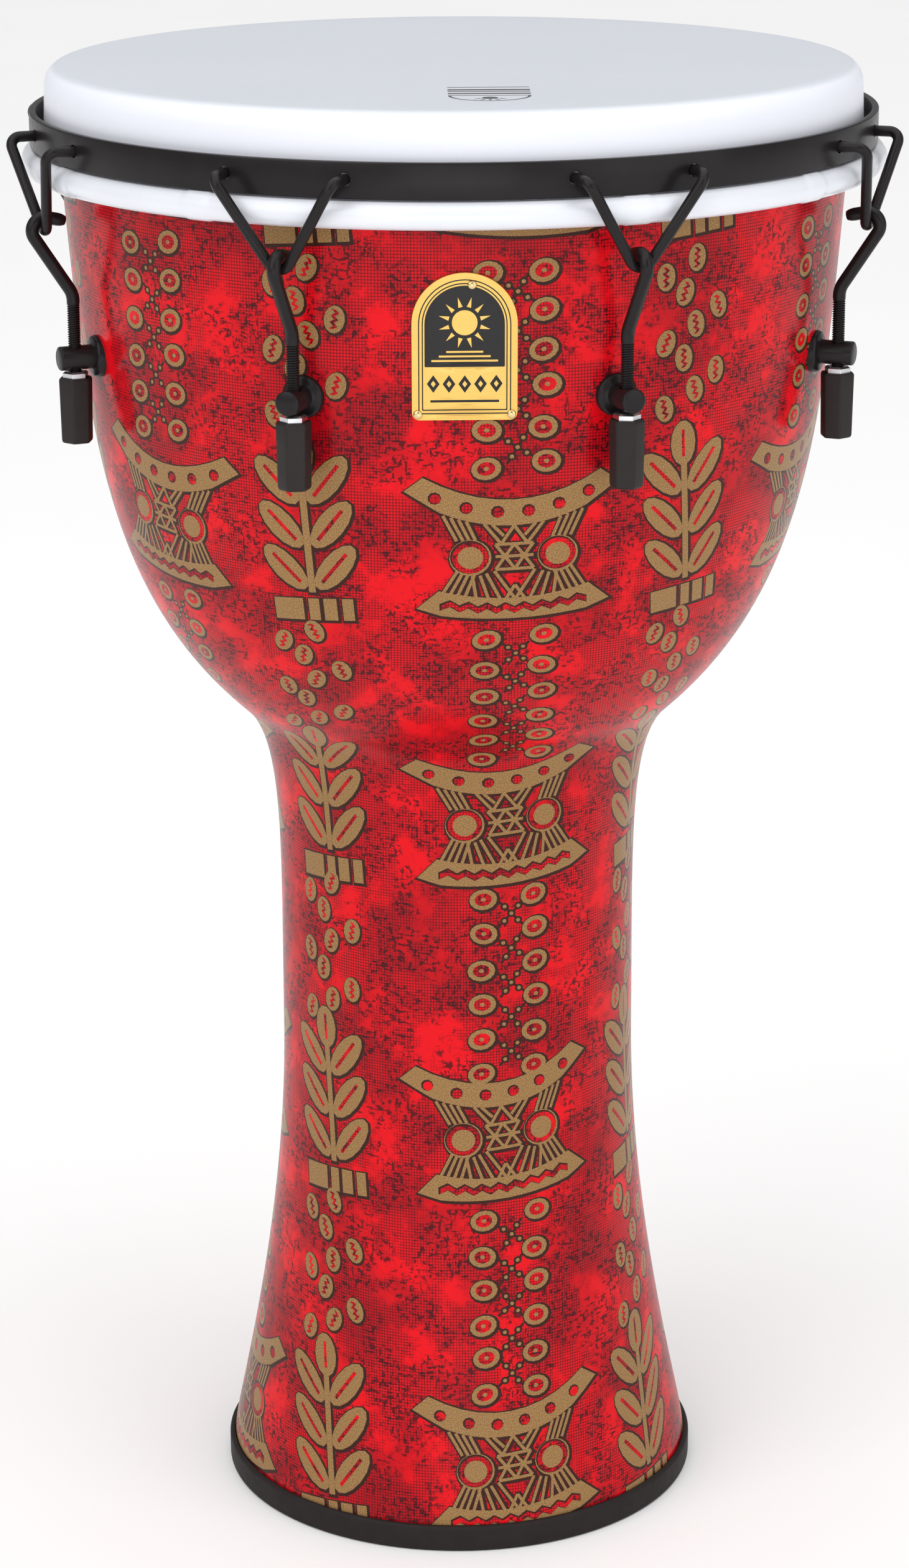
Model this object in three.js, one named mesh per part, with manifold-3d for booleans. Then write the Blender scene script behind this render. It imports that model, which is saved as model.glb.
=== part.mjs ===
// A djembe with a 14 inch (356 mm) synthetic head, a goblet shell and eight mechanical tuning lugs.
// Millimetres, +Z up, origin at the centre of the foot's underside.
// Front is -Y. A tuning station is drawn at the front, with its radius along -Y and its width along
// X, and is then turned about Z to its own angle.
import * as THREE from "three";
import { mergeVertices } from "three/addons/utils/BufferGeometryUtils.js";
import Module from "manifold-3d";

const wasm = await Module();
wasm.setup();

// ---- driving dimensions ----
const GAP = 0.3; // clearance between touching pieces
const FACETS = 48; // sides of every large turned piece

const STATIONS = 8;
const FIRST_STATION = 22.5; // degrees from the front

const shell = {
  wall: 5, base: 3.3, footRadius: 108.4, footTop: 12, footHandle: 11.5,
  waistRadius: 81.6, waist: 220, neckHandle: 103, throatHandle: 95,
  throatRadius: 99.2, throat: 380.4, flare: 0.84, flareHandle: 27.4, bowlHandle: 90,
  rimRadius: 175.4, rim: 655, rimSlope: 0.08, rimHandle: 130,
  edgeRadius: 171.8, edge: 666.7,
};
const foot = { outer: 111, inner: 99.8, height: 12.4, lip: 9, chamfer: 1.2 };
const head = {
  top: 667.8, flatRadius: 171.7, collarRadius: 179, collar: 659.2,
  skirtRadius: 179.6, skirt: 642, film: 0.8,
};
const fleshHoop = { radius: 184, height: 627.5, wrap: 6, wrapInner: 5, core: 3.1, curl: 3.6 };
const rimHoop = { outer: 186, inner: 183, bottom: 633.8, top: 648.8, chamfer: 0.6 };
const claw = {
  wire: 2.3, height: 641.6, spread: 26.2, innerEnd: 179.6, corner: 196.3, cornerBend: 4.5,
  apexRadius: 189.5, apex: 605.1, apexBend: 5.5, hole: 2.8,
};
const rod = {
  wire: 2.8, radius: 177.8, bottom: 515.5, bend: 577, bendRadius: 10,
  hookBend: 5.5, hookDroop: 12.5, hookEnd: 180.5,
};
const post = {
  height: 549.4, radius: 5.2, end: 185, flangeRadius: 9, flange: 2.2,
  crossHole: 3.2, screwHole: 2.8, screwHoleEnd: 173.6,
};
const sleeve = { top: 541, bottom: 512.5, topRadius: 7.75, bottomRadius: 7.25, rodHole: 3.4 };
const hexNut = { top: 543.7, bottom: 524.3, acrossFlats: 10, bore: 3.2 };
const screw = { head: 5.5, headHeight: 3.2, shank: 2.4, tip: 173 };
const badge = {
  angle: 0.6, width: 43, bottom: 541.6, top: 603, archRadius: 21.5, cornerRadius: 3,
  thickness: 1.2,
};
const badgePin = { head: 1.9, headHeight: 1, shank: 0.8, hole: 1.1, depth: 3 };
const BADGE_PINS = [
  { name: "badge_pin_top", across: 3, height: 598 },
  { name: "badge_pin_left", across: -19, height: 543.9 },
  { name: "badge_pin_right", across: 19, height: 543.9 },
];

// ---- materials ----
const finish = (color, roughness, metalness = 0) =>
  new THREE.MeshStandardMaterial({ color, roughness, metalness });
const printedShell = finish(0xc4182a, 0.25);
const whiteFilm = finish(0xdfe3ea, 0.6);
const whiteWrap = finish(0xf0f2f8, 0.5);
const blackEnamel = finish(0x262224, 0.3, 0.4);
const blackPlastic = finish(0x2c2628, 0.55);
const blackRubber = finish(0x2a2624, 0.8);
const brightSteel = finish(0xc8c8cc, 0.3, 1);
const goldPlate = finish(0xe6b850, 0.35, 0.7);
const brass = finish(0xc9a040, 0.3, 1);

// ---- helpers ----
const radians = THREE.MathUtils.degToRad;
const group = new THREE.Group();

function solid(geometry) {
  const bare = geometry.index ? geometry.toNonIndexed() : geometry.clone();
  bare.deleteAttribute("normal");
  bare.deleteAttribute("uv");
  const merged = mergeVertices(bare, 1e-3);
  return new wasm.Manifold(new wasm.Mesh({
    numProp: 3,
    vertProperties: merged.attributes.position.array,
    triVerts: new Uint32Array(merged.index.array),
  }));
}

function geometryOf(body) {
  const mesh = body.getMesh();
  const geometry = new THREE.BufferGeometry();
  geometry.setAttribute("position", new THREE.BufferAttribute(mesh.vertProperties, 3));
  geometry.setIndex(new THREE.BufferAttribute(mesh.triVerts, 1));
  geometry.computeVertexNormals();
  return geometry;
}

function add(name, geometry, material, angle = 0) {
  const mesh = new THREE.Mesh(geometry, material.clone());
  mesh.name = name;
  mesh.rotation.z = radians(angle);
  group.add(mesh);
}

// Turns a closed outline of (radius, height) points about Z.
function turned(outline, facets = FACETS) {
  const points = THREE.ShapeUtils.area(outline) > 0 ? outline : outline.slice().reverse();
  return new THREE.LatheGeometry([...points, points[0]], facets).rotateX(Math.PI / 2);
}

// A disc or tapered cylinder along Z, from one height to another.
function upright(bottom, top, bottomRadius, topRadius, sides) {
  return new THREE.CylinderGeometry(topRadius, bottomRadius, top - bottom, sides)
    .rotateX(Math.PI / 2)
    .translate(0, 0, (bottom + top) / 2);
}

// A cylinder along the radius at the front, from one radius to another.
function radial(inner, outer, radius, height, sides) {
  return new THREE.CylinderGeometry(radius, radius, outer - inner, sides)
    .translate(0, -(inner + outer) / 2, height);
}

const arc = (centre, radius, from, to, steps) =>
  Array.from({ length: steps + 1 }, (_, i) => {
    const a = radians(from + ((to - from) * i) / steps);
    return new THREE.Vector2(centre.x + radius * Math.cos(a), centre.y + radius * Math.sin(a));
  });

// Moves an open outline sideways: to its left for a positive distance.
function offset(points, distance) {
  return points.map((point, i) => {
    const along = points[Math.min(i + 1, points.length - 1)].clone()
      .sub(points[Math.max(i - 1, 0)]).normalize();
    return new THREE.Vector2(point.x - along.y * distance, point.y + along.x * distance);
  });
}

function radiusAt(outline, height) {
  const i = outline.findIndex((point) => point.y >= height);
  const [low, high] = [outline[i - 1], outline[i]];
  return THREE.MathUtils.mapLinear(height, low.y, high.y, low.x, high.x);
}

// A bent wire's centreline. Its steps are its own points, so a straight run is one step.
class WirePath extends THREE.Curve {
  constructor(points) {
    super();
    this.points = points;
    this.steps = points.length - 1;
  }
  getPoint(t, target = new THREE.Vector3()) {
    const i = Math.min(Math.floor(t * this.steps), this.steps - 1);
    return target.lerpVectors(this.points[i], this.points[i + 1], t * this.steps - i);
  }
  getPointAt(u, target) {
    return this.getPoint(u, target);
  }
  getTangentAt(u, target = new THREE.Vector3()) {
    const i = Math.round(u * this.steps);
    const run = (k) => this.points[k + 1].clone().sub(this.points[k]).normalize();
    const before = run(Math.max(i - 1, 0));
    return target.copy(before.add(run(Math.min(i, this.steps - 1))).normalize());
  }
}

// Replaces a corner by an arc that touches both of its straight runs.
function bend(before, corner, after, radius, steps) {
  const along = corner.clone().sub(before).normalize();
  const onward = after.clone().sub(corner).normalize();
  const turn = along.angleTo(onward);
  const start = corner.clone().addScaledVector(along, -radius * Math.tan(turn / 2));
  const inward = onward.clone().addScaledVector(along, -onward.dot(along)).normalize();
  return Array.from({ length: steps + 1 }, (_, i) => {
    const a = (turn * i) / steps;
    return start.clone()
      .addScaledVector(along, radius * Math.sin(a))
      .addScaledVector(inward, radius * (1 - Math.cos(a)));
  });
}

function wire(points, radius) {
  const sides = 8;
  const section = new THREE.Shape(arc(new THREE.Vector2(), radius, 0, 360 - 360 / sides, sides - 1));
  const path = new WirePath(points);
  return new THREE.ExtrudeGeometry(section, { extrudePath: path, steps: path.steps });
}

// ---- shell ----
// The outside of the shell from the foot, past the waist and throat, to the bowl's rim.
function shellOutside() {
  const { footRadius, footTop, waistRadius, waist, throatRadius, throat, rimRadius, rim } = shell;
  const outwards = Math.sin(shell.flare);
  const upwards = Math.cos(shell.flare);
  const neck = new THREE.CubicBezierCurve(
    new THREE.Vector2(footRadius, footTop),
    new THREE.Vector2(footRadius, footTop + shell.footHandle),
    new THREE.Vector2(waistRadius, waist - shell.neckHandle),
    new THREE.Vector2(waistRadius, waist),
  );
  const shoulder = new THREE.CubicBezierCurve(
    new THREE.Vector2(waistRadius, waist),
    new THREE.Vector2(waistRadius, waist + shell.throatHandle),
    new THREE.Vector2(
      throatRadius - outwards * shell.flareHandle, throat - upwards * shell.flareHandle),
    new THREE.Vector2(throatRadius, throat),
  );
  const bowl = new THREE.CubicBezierCurve(
    new THREE.Vector2(throatRadius, throat),
    new THREE.Vector2(
      throatRadius + outwards * shell.bowlHandle, throat + upwards * shell.bowlHandle),
    new THREE.Vector2(rimRadius - shell.rimSlope * shell.rimHandle, rim - shell.rimHandle),
    new THREE.Vector2(rimRadius, rim),
  );
  return [
    new THREE.Vector2(footRadius, shell.base),
    ...neck.getPoints(5),
    ...shoulder.getPoints(6).slice(1),
    ...bowl.getPoints(7).slice(1),
  ];
}

const outside = shellOutside();
const inside = offset(outside, shell.wall);

// The rounded crest that the head bears on.
function bearingEdge() {
  const { rimRadius, rim, edgeRadius, edge } = shell;
  return [30, 60, 90].map((degrees) => new THREE.Vector2(
    edgeRadius + (rimRadius - edgeRadius) * Math.cos(radians(degrees)),
    rim + (edge - rim) * Math.sin(radians(degrees)),
  ));
}

function pinRadius(pin) {
  return radiusAt(outside, pin.height);
}

function makeShell() {
  let body = solid(turned([...outside, ...bearingEdge(), ...inside.slice().reverse()]));
  const screwHole = solid(radial(150, 180, post.screwHole, post.height, 10));
  for (let i = 0; i < STATIONS; i++) {
    body = body.subtract(screwHole.rotate([0, 0, stationAngle(i)]));
  }
  for (const pin of BADGE_PINS) {
    const hole = solid(radial(150, 180, badgePin.hole, pin.height, 8));
    body = body.subtract(hole.rotate([0, 0, pinAngle(pin)]));
  }
  return geometryOf(body);
}

// A rubber channel that the shell's lower edge stands in.
function makeFoot() {
  const { outer, inner, height, lip, chamfer } = foot;
  const slotOuter = shell.footRadius + GAP;
  const slotInner = shell.footRadius - shell.wall - GAP;
  return turned([
    new THREE.Vector2(inner + chamfer, 0),
    new THREE.Vector2(outer - chamfer, 0),
    new THREE.Vector2(outer, chamfer),
    new THREE.Vector2(outer, height - chamfer),
    new THREE.Vector2(outer - chamfer, height),
    new THREE.Vector2(slotOuter, height),
    new THREE.Vector2(slotOuter, shell.base - GAP),
    new THREE.Vector2(slotInner, shell.base - GAP),
    new THREE.Vector2(slotInner, lip),
    new THREE.Vector2(inner, lip),
    new THREE.Vector2(inner, chamfer),
  ]);
}

// ---- head and hoops ----
// The film lies flat, rolls over its shoulder and runs down to curl round the core ring.
function makeFilm() {
  const { top, flatRadius, collarRadius, collar, skirtRadius, skirt, film } = head;
  const centre = new THREE.Vector2(fleshHoop.radius, fleshHoop.height);
  const face = (depth) => [
    new THREE.Vector2(0, top - depth),
    ...[90, 67.5, 45, 22.5, 0].map((degrees) => new THREE.Vector2(
      flatRadius + (collarRadius - flatRadius - depth) * Math.cos(radians(degrees)),
      collar + (top - collar - depth) * Math.sin(radians(degrees)),
    )),
    new THREE.Vector2(skirtRadius - depth, skirt),
    ...arc(centre, fleshHoop.curl + depth, 180, 270, 3),
  ];
  const outline = [...face(0), ...face(film).reverse()];
  return new THREE.LatheGeometry(outline.reverse(), FACETS).rotateX(Math.PI / 2);
}

function makeFleshCore() {
  const centre = new THREE.Vector2(fleshHoop.radius, fleshHoop.height);
  return turned(arc(centre, fleshHoop.core, 0, 300, 5));
}

// The wrap is slit on its upper inner side, where the film goes in.
function makeFleshWrap() {
  const centre = new THREE.Vector2(fleshHoop.radius, fleshHoop.height);
  const slit = [-194, 122];
  return turned([
    ...arc(centre, fleshHoop.wrap, ...slit, 10),
    ...arc(centre, fleshHoop.wrapInner, ...slit, 7).reverse(),
  ]);
}

function makeRimHoop() {
  const { outer, inner, bottom, top, chamfer } = rimHoop;
  let body = solid(turned([
    new THREE.Vector2(inner + chamfer, bottom),
    new THREE.Vector2(outer - chamfer, bottom),
    new THREE.Vector2(outer, bottom + chamfer),
    new THREE.Vector2(outer, top - chamfer),
    new THREE.Vector2(outer - chamfer, top),
    new THREE.Vector2(inner + chamfer, top),
    new THREE.Vector2(inner, top - chamfer),
    new THREE.Vector2(inner, bottom + chamfer),
  ]));
  const hole = solid(radial(170, 195, claw.hole, claw.height, 10));
  const pair = hole.translate([claw.spread, 0, 0]).add(hole.translate([-claw.spread, 0, 0]));
  for (let i = 0; i < STATIONS; i++) {
    body = body.subtract(pair.rotate([0, 0, stationAngle(i)]));
  }
  return geometryOf(body);
}

// ---- tuning station ----
function stationAngle(i) {
  return FIRST_STATION + (i * 360) / STATIONS;
}

const atFront = (across, radius, height) => new THREE.Vector3(across, -radius, height);

// A wire bent to a V. Both ends pass through the rim hoop and the rod's hook pulls at its apex.
function makeClaw() {
  const { spread, height, corner, apexRadius, apex, apexBend } = claw;
  const lean = (corner - apexRadius) / (height - apex);
  const rise = Math.hypot(1, lean);
  // The straight legs would meet at this point below the apex.
  const centreUp = apexBend / rise;
  const reach = (height - apex - centreUp) * rise;
  const far = Math.hypot(spread, reach);
  const legAngle = Math.atan2(spread, reach) - Math.asin(apexBend / far);
  const meet = centreUp - apexBend / Math.sin(legAngle) / rise;
  const tip = atFront(0, apexRadius + meet * lean, apex + meet);
  const side = (sign) => [
    atFront(sign * spread, claw.innerEnd, height),
    atFront(sign * spread, corner, height),
  ];
  const [startEnd, startCorner] = side(-1);
  const [finishEnd, finishCorner] = side(1);
  return wire([
    startEnd,
    ...bend(startEnd, startCorner, tip, claw.cornerBend, 3),
    ...bend(startCorner, tip, finishCorner, apexBend, 5),
    ...bend(tip, finishCorner, finishEnd, claw.cornerBend, 3),
    finishEnd,
  ], claw.wire);
}

// A threaded rod, bent outwards and then hooked inwards over the claw's apex.
function makeRod() {
  const hook = new THREE.Vector2(claw.apexRadius, claw.apex);
  const start = new THREE.Vector2(rod.radius, rod.bend);
  const towards = hook.clone().sub(start);
  const slant = towards.angle() - Math.asin(rod.hookBend / towards.length());
  const from = THREE.MathUtils.radToDeg(slant) - 90;
  const curl = arc(hook, rod.hookBend, from, 90 + rod.hookDroop, 6);
  const last = curl[curl.length - 1];
  const drop = (last.x - rod.hookEnd) * Math.tan(radians(rod.hookDroop));
  const low = atFront(0, rod.radius, rod.bottom);
  const elbow = atFront(0, rod.radius, rod.bend);
  const hooked = curl.map((point) => atFront(0, point.x, point.y));
  return wire([
    low,
    ...bend(low, elbow, hooked[0], rod.bendRadius, 2),
    ...hooked,
    atFront(0, rod.hookEnd, last.y - drop),
  ], rod.wire);
}

// A round post with a flange that follows the shell and a cross hole for the rod.
function makePost() {
  const surface = radiusAt(outside, post.height);
  const flangeInner = surface - 3;
  const flange = solid(radial(flangeInner, surface + 1 + post.flange, post.flangeRadius, post.height, 16));
  const barrel = solid(radial(flangeInner, post.end, post.radius, post.height, 12));
  const bowl = solid(turned([
    new THREE.Vector2(0, outside[1].y),
    ...offset(outside.slice(1), -GAP),
    new THREE.Vector2(0, shell.rim),
  ]));
  const crossHole = solid(upright(post.height - 8, post.height + 8, post.crossHole, post.crossHole, 10)
    .translate(0, -rod.radius, 0));
  const screwHole = solid(radial(surface - 6, post.screwHoleEnd, post.screwHole, post.height, 10));
  return geometryOf(barrel.add(flange).subtract(bowl).subtract(crossHole).subtract(screwHole));
}

const hexRadius = (acrossFlats) => acrossFlats / 2 / Math.cos(Math.PI / 6);

function makeSleeve() {
  const { top, bottom, topRadius, bottomRadius, rodHole } = sleeve;
  const pocket = hexRadius(hexNut.acrossFlats + 2 * GAP);
  const body = solid(upright(bottom, top, bottomRadius, topRadius, 6));
  const nutPocket = solid(upright(hexNut.bottom - GAP, top + 1, pocket, pocket, 6));
  const rodPocket = solid(upright(rod.bottom - 0.5, top, rodHole, rodHole, 10));
  return geometryOf(body.subtract(nutPocket).subtract(rodPocket)).translate(0, -rod.radius, 0);
}

function makeHexNut() {
  const radius = hexRadius(hexNut.acrossFlats);
  const body = solid(upright(hexNut.bottom, hexNut.top, radius, radius, 6));
  const bore = solid(upright(hexNut.bottom - 1, hexNut.top + 1, hexNut.bore, hexNut.bore, 10));
  return geometryOf(body.subtract(bore)).translate(0, -rod.radius, 0);
}

// A screw from inside the shell, through its wall, into the post.
function makeScrew() {
  const wallInside = radiusAt(inside, post.height - screw.head);
  const seat = wallInside - screw.head * Math.tan(Math.PI / FACETS) - GAP;
  const top = solid(radial(seat - screw.headHeight, seat, screw.head, post.height, 10));
  const shank = solid(radial(seat - 1, screw.tip, screw.shank, post.height, 8));
  return geometryOf(top.add(shank));
}

// ---- badge ----
function pinAngle(pin) {
  return badge.angle + THREE.MathUtils.radToDeg(pin.across / pinRadius(pin));
}

function badgeOutline() {
  const { width, bottom, top, archRadius, cornerRadius } = badge;
  const half = width / 2;
  const left = new THREE.Vector2(-half + cornerRadius, bottom + cornerRadius);
  const right = new THREE.Vector2(half - cornerRadius, bottom + cornerRadius);
  const crown = new THREE.Vector2(0, top - archRadius);
  return new THREE.Shape([
    ...arc(left, cornerRadius, 180, 270, 2),
    ...arc(right, cornerRadius, 270, 360, 2),
    ...arc(crown, archRadius, 0, 180, 10),
  ]);
}

// An arch-topped plate that follows the bowl's curve.
function makeBadge() {
  const block = solid(new THREE.ExtrudeGeometry(badgeOutline(), { depth: 40, bevelEnabled: false })
    .rotateX(Math.PI / 2)
    .translate(0, -150, 0));
  const bowl = outside.filter((point) => point.y > shell.throat);
  const band = solid(turned([
    ...offset(bowl, -GAP),
    ...offset(bowl, -GAP - badge.thickness).reverse(),
  ]));
  let plate = block.rotate([0, 0, badge.angle]).intersect(band);
  for (const pin of BADGE_PINS) {
    const hole = solid(radial(150, 190, badgePin.hole, pin.height, 8));
    plate = plate.subtract(hole.rotate([0, 0, pinAngle(pin)]));
  }
  return geometryOf(plate);
}

function makePin(pin) {
  const under = pinRadius(pin) + GAP + badge.thickness + 2 * GAP;
  const { head: radius, headHeight, shank, depth } = badgePin;
  const profile = [
    new THREE.Vector2(0, -depth - badge.thickness),
    new THREE.Vector2(shank, -depth - badge.thickness),
    new THREE.Vector2(shank, 0),
    new THREE.Vector2(radius, 0),
    new THREE.Vector2(radius, headHeight * 0.4),
    new THREE.Vector2(radius * 0.6, headHeight * 0.9),
    new THREE.Vector2(0, headHeight),
  ];
  return new THREE.LatheGeometry(profile, 8).rotateX(Math.PI).translate(0, -under, pin.height);
}

// ---- assembly ----
add("shell", makeShell(), printedShell);
add("foot_ring", makeFoot(), blackRubber);
add("drumhead_film", makeFilm(), whiteFilm);
add("flesh_hoop_core", makeFleshCore(), brightSteel);
add("flesh_hoop_wrap", makeFleshWrap(), whiteWrap);
add("rim_hoop", makeRimHoop(), blackEnamel);

const stationPieces = [
  ["claw", makeClaw(), blackEnamel],
  ["tension_rod", makeRod(), blackEnamel],
  ["lug_post", makePost(), blackEnamel],
  ["nut_sleeve", makeSleeve(), blackPlastic],
  ["hex_nut", makeHexNut(), brightSteel],
  ["lug_screw", makeScrew(), brightSteel],
];
for (let i = 0; i < STATIONS; i++) {
  for (const [name, geometry, material] of stationPieces) {
    add(`${name}_${i + 1}`, geometry, material, stationAngle(i));
  }
}

add("badge", makeBadge(), goldPlate);
for (const pin of BADGE_PINS) {
  add(pin.name, makePin(pin), brass, pinAngle(pin));
}

export default group;
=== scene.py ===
"""The looks of a djembe: printed shell, film head, hoops, tuning hardware and badge.

Metres, +Z up, front at -Y. A tuning station is made at the front and turned about Z to its place.
"""

import bisect
import math
import random

import bmesh
import bpy
from mathutils import Matrix, Vector, geometry


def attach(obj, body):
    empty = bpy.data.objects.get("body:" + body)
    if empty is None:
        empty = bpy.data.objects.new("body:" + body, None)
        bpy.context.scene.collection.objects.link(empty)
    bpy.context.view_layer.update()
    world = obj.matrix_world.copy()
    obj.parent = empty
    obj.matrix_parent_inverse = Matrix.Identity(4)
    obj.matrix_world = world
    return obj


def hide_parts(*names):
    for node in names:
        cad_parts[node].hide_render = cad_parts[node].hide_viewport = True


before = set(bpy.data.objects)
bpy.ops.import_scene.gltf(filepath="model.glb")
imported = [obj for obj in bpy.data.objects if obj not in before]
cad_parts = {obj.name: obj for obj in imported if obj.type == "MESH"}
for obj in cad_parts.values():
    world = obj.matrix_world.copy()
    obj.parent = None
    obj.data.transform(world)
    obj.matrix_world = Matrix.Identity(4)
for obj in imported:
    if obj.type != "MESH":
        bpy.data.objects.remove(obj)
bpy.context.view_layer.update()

MM = 0.001
STATIONS = 8
FIRST_STATION = 22.5  # degrees from the front
COLUMNS = 160  # sides of every large turned piece

# Heights and radii in millimetres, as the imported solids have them.
SHELL = {
    "base": 3.3, "foot_radius": 108.4, "foot_top": 12, "foot_handle": 11.5,
    "waist_radius": 81.6, "waist": 220, "neck_handle": 103, "throat_handle": 95,
    "throat_radius": 99.2, "throat": 380.4, "flare": 0.84, "flare_handle": 27.4,
    "bowl_handle": 90, "rim_radius": 175.4, "rim": 655, "rim_slope": 0.08,
    "rim_handle": 130, "edge_radius": 171.8, "edge": 666.7, "wall": 5,
}
POST_HEIGHT = 549.4
ROD_RADIUS = 177.8
CLAW = {
    "wire": 2.3, "height": 641.6, "spread": 26.2, "inner_end": 179.6, "corner": 196.1,
    "corner_bend": 4.5, "apex_radius": 189.5, "apex": 605.1, "apex_bend": 5.5,
}
ROD = {
    "wire": 2.8, "bottom": 515.5, "bend": 577, "bend_radius": 10, "hook_bend": 5.5,
    "hook_droop": 12.5, "hook_end": 180.5, "pitch": 1.0, "thread_depth": 0.61,
}


# ---- camera and studio ----
def make_camera():
    data = bpy.data.cameras.new("camera")
    camera = bpy.data.objects.new("camera", data)
    bpy.context.scene.collection.objects.link(camera)
    bpy.context.scene.camera = camera
    data.sensor_width = 36
    data.lens = 92.11
    azimuth, distance = math.radians(-0.76), 1.774
    camera.location = (distance * math.sin(azimuth), -distance * math.cos(azimuth), 0.8763)
    aim = Matrix.Rotation(azimuth + math.radians(0.031), 4, "Z")
    tip = Matrix.Rotation(math.radians(90 - 16.95), 4, "X")
    roll = Matrix.Rotation(math.radians(-0.25), 4, "Z")
    camera.rotation_euler = (aim @ tip @ roll).to_euler()


def make_studio():
    world = bpy.data.worlds.new("studio")
    bpy.context.scene.world = world
    world.use_nodes = True
    world.node_tree.nodes["Background"].inputs["Color"].default_value = (1, 1, 1, 1)
    world.node_tree.nodes["Background"].inputs["Strength"].default_value = 0.35
    bpy.context.scene.view_settings.view_transform = "Standard"

    mesh = bpy.data.meshes.new("floor")
    mesh.from_pydata([(-12, -12, 0), (12, -12, 0), (12, 12, 0), (-12, 12, 0)], [], [(0, 1, 2, 3)])
    floor = bpy.data.objects.new("floor", mesh)
    bpy.context.scene.collection.objects.link(floor)
    paper = Material("floor_paper", roughness=0.9)
    paper.colour(paper.mix(paper.noise(3), (0.90, 0.90, 0.90), (0.93, 0.93, 0.93)))
    mesh.materials.append(paper.material)

    lights = (
        ("key", (-2.4, -2.6, 2.6), 3.4, 62),
        ("fill", (2.8, -2.4, 1.8), 3.4, 46),
        ("low", (0, -3.0, 0.2), 1.6, 14),
    )
    overhead = bpy.data.lights.new("sky", "SUN")
    overhead.energy = 1.95
    overhead.angle = math.radians(80)
    bpy.context.scene.collection.objects.link(bpy.data.objects.new("sky", overhead))
    for name, place, size, power in lights:
        light = bpy.data.lights.new(name, "AREA")
        light.size = size
        light.energy = power
        lamp = bpy.data.objects.new(name, light)
        bpy.context.scene.collection.objects.link(lamp)
        lamp.location = place
        lamp.rotation_euler = (Vector((0, 0, 0.35)) - Vector(place)).to_track_quat("-Z", "Y").to_euler()


# ---- materials ----
class Material:
    """A Principled material with short calls for the nodes that its colour and bump need."""

    def __init__(self, name, **settings):
        self.material = bpy.data.materials.new(name)
        self.material.use_nodes = True
        self.tree = self.material.node_tree
        self.shader = self.tree.nodes["Principled BSDF"]
        for key, value in settings.items():
            self.shader.inputs[key.replace("_", " ").title().replace("Ior", "IOR")].default_value = value
        self.space = self.tree.nodes.new("ShaderNodeTexCoord").outputs["Object"]

    def node(self, kind, inputs, **options):
        node = self.tree.nodes.new(kind)
        for key, value in options.items():
            setattr(node, key, value)
        for key, value in inputs.items():
            if isinstance(value, bpy.types.NodeSocket):
                self.tree.links.new(value, node.inputs[key])
            elif value is not None:
                node.inputs[key].default_value = value
        return node

    def on_cloth(self):
        """Patterns follow the cloth's own width and height, in metres."""
        self.space = self.node("ShaderNodeUVMap", {}, uv_map="cloth").outputs["UV"]
        return self

    def stretched(self, x, y, z=1):
        return self.node("ShaderNodeMapping", {"Vector": self.space, "Scale": (x, y, z)}).outputs["Vector"]

    def noise(self, scale, detail=3, roughness=0.5, space=None):
        inputs = {"Vector": space or self.space, "Scale": scale, "Detail": detail, "Roughness": roughness}
        return self.node("ShaderNodeTexNoise", inputs).outputs["Fac"]

    def between(self, value, low, high):
        """0 below low, 1 above high, and smooth between them."""
        inputs = {"Value": value, "From Min": low, "From Max": high}
        return self.node("ShaderNodeMapRange", inputs, interpolation_type="SMOOTHSTEP").outputs["Result"]

    def math(self, operation, a, b=None):
        return self.node("ShaderNodeMath", {0: a, 1: b}, operation=operation).outputs[0]

    def mix(self, factor, a, b):
        node = self.node("ShaderNodeMix", {"Factor": factor}, data_type="RGBA")
        for socket, value in ((node.inputs[6], a), (node.inputs[7], b)):
            if isinstance(value, tuple):
                socket.default_value = (*value, 1)
            else:
                self.tree.links.new(value, socket)
        return node.outputs[2]

    def axis(self, name, space=None):
        return self.node("ShaderNodeSeparateXYZ", {"Vector": space or self.space}).outputs[name]

    def colour(self, value):
        self.tree.links.new(value, self.shader.inputs["Base Color"])

    def roughness(self, factor, low, high):
        inputs = {"Value": factor, "To Min": low, "To Max": high}
        value = self.node("ShaderNodeMapRange", inputs).outputs["Result"]
        self.tree.links.new(value, self.shader.inputs["Roughness"])

    def bump(self, height, strength, distance):
        inputs = {"Height": height, "Strength": strength, "Distance": distance}
        normal = self.node("ShaderNodeBump", inputs).outputs["Normal"]
        self.tree.links.new(normal, self.shader.inputs["Normal"])


RESIN = {
    "roughness": 0.55, "specular_ior_level": 0.02,
    "coat_weight": 0.6, "coat_roughness": 0.2, "coat_ior": 1.30,
}


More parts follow.
